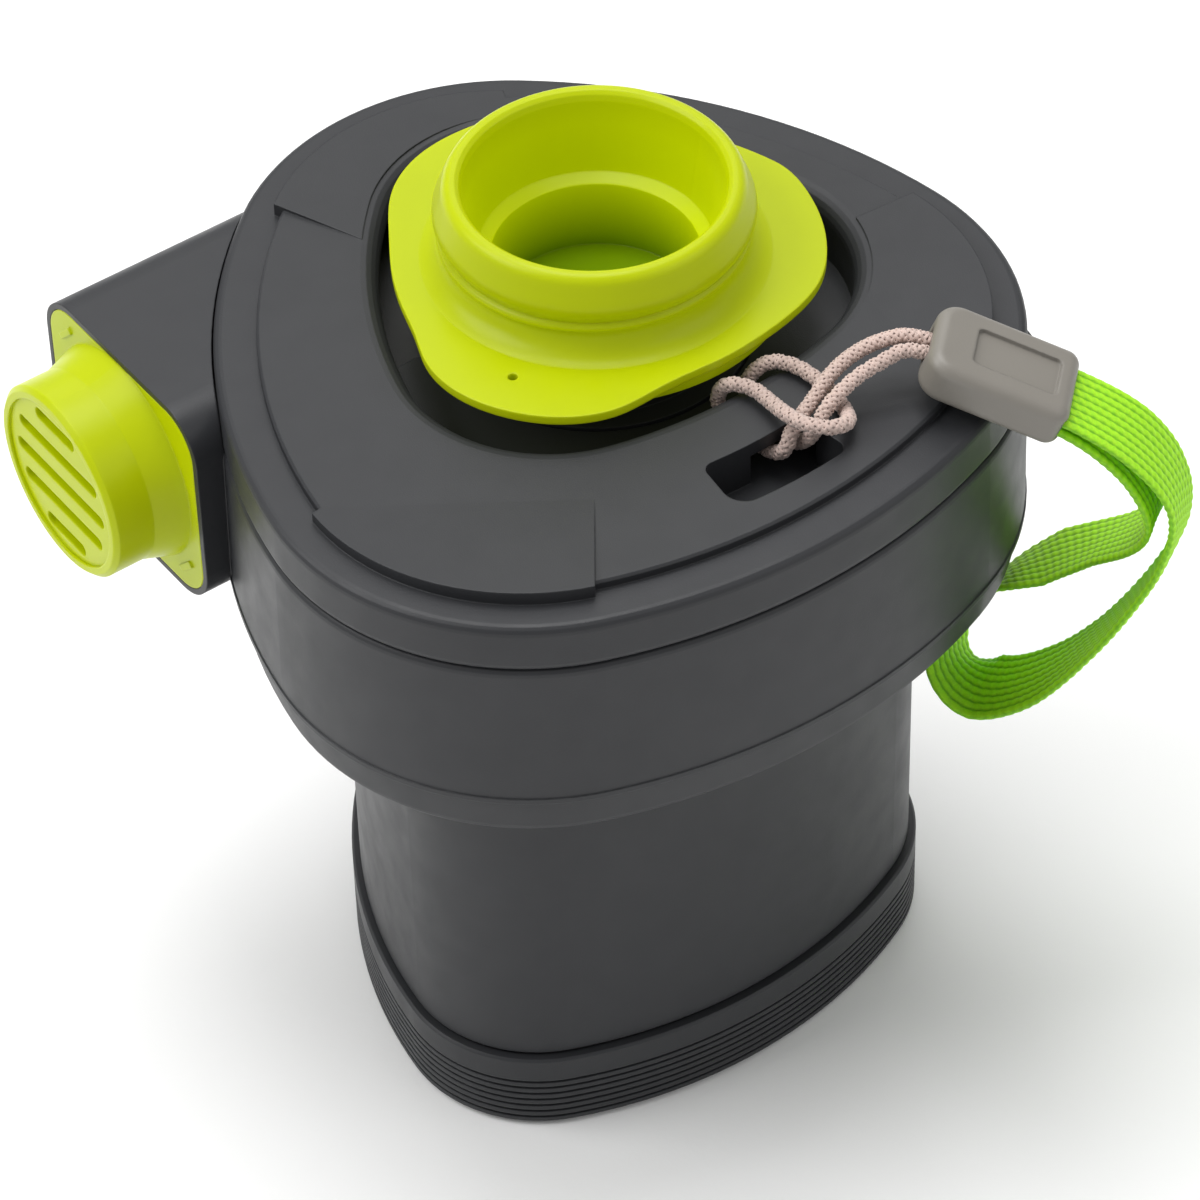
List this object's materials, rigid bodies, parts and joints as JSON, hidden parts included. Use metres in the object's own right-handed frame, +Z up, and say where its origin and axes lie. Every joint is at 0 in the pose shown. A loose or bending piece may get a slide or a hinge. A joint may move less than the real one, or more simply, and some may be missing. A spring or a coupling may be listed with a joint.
{
  "type": "electric air mattress pump",
  "caption": "Battery air pump for mattresses: drum with fan on a battery column, side outlet nozzle, pull-off intake adapter, wrist strap.",
  "frame": {"origin": "centre of the base's flat underside, on the battery column's axis", "axes": "+Z up along the battery column; -X along the air outlet; one rounded vertex of the drum towards +Y"},
  "size_m": [0.1086, 0.1093, 0.1165],
  "materials": {
    "body_plastic": "fine-grained matte",
    "lime_plastic": "smooth satin",
    "inner_plastic": "plain moulded",
    "fan_plastic": "plain moulded",
    "switch_plastic": "smooth semi-gloss",
    "clip_plastic": "fine satin",
    "cord_fabric": "braided",
    "web_fabric": "woven webbing",
    "zinc_steel": "zinc plated",
    "motor_can": "satin plated",
    "cell_can": null,
    "contact_brass": "nickel-washed"
  },
  "bodies": {
    "housing": {"drum_housing": "body_plastic", "column_shell": "body_plastic", "lid": "body_plastic", "lid_screws": "zinc_steel", "cell_1": "cell_can", "cell_2": "cell_can", "cell_3": "cell_can", "contact_board": "inner_plastic", "cell_contacts": "contact_brass", "motor_mount": "inner_plastic", "motor": "motor_can", "volute": "inner_plastic", "scroll_cover": "inner_plastic", "intake_guard": "body_plastic", "outlet_spigot": "lime_plastic", "outlet_grille": "lime_plastic", "switch_bezel": "switch_plastic", "switch_body": "switch_plastic", "strap_clip": "clip_plastic", "strap_cord": "cord_fabric", "strap_webbing": "web_fabric"},
    "rotor": {"motor_shaft": "zinc_steel", "impeller": "fan_plastic"},
    "adapter": {"adapter": "lime_plastic"},
    "cap": {"base_cap": "body_plastic", "base_contact": "contact_brass"},
    "rocker": {"switch_rocker": "switch_plastic"}
  },
  "joints": [
    {"name": "impeller_spin", "type": "hinge", "parent": "housing", "child": "rotor", "pos_m": [0.0055, 0.007, 0.085], "axis": [0, 0, 1], "continuous": true},
    {"name": "adapter_lift", "type": "slide", "parent": "housing", "child": "adapter", "axis": [0, 0, 1], "range_m": [0, 0.03]},
    {"name": "base_cap_pull", "type": "slide", "parent": "housing", "child": "cap", "axis": [0, 0, -1], "range_m": [0, 0.02]},
    {"name": "rocker_tilt", "type": "hinge", "parent": "housing", "child": "rocker", "pos_m": [0.04908, -0.01518, 0.0832], "axis": [0, 0, 1], "range_deg": [-16, 0]}
  ]
}
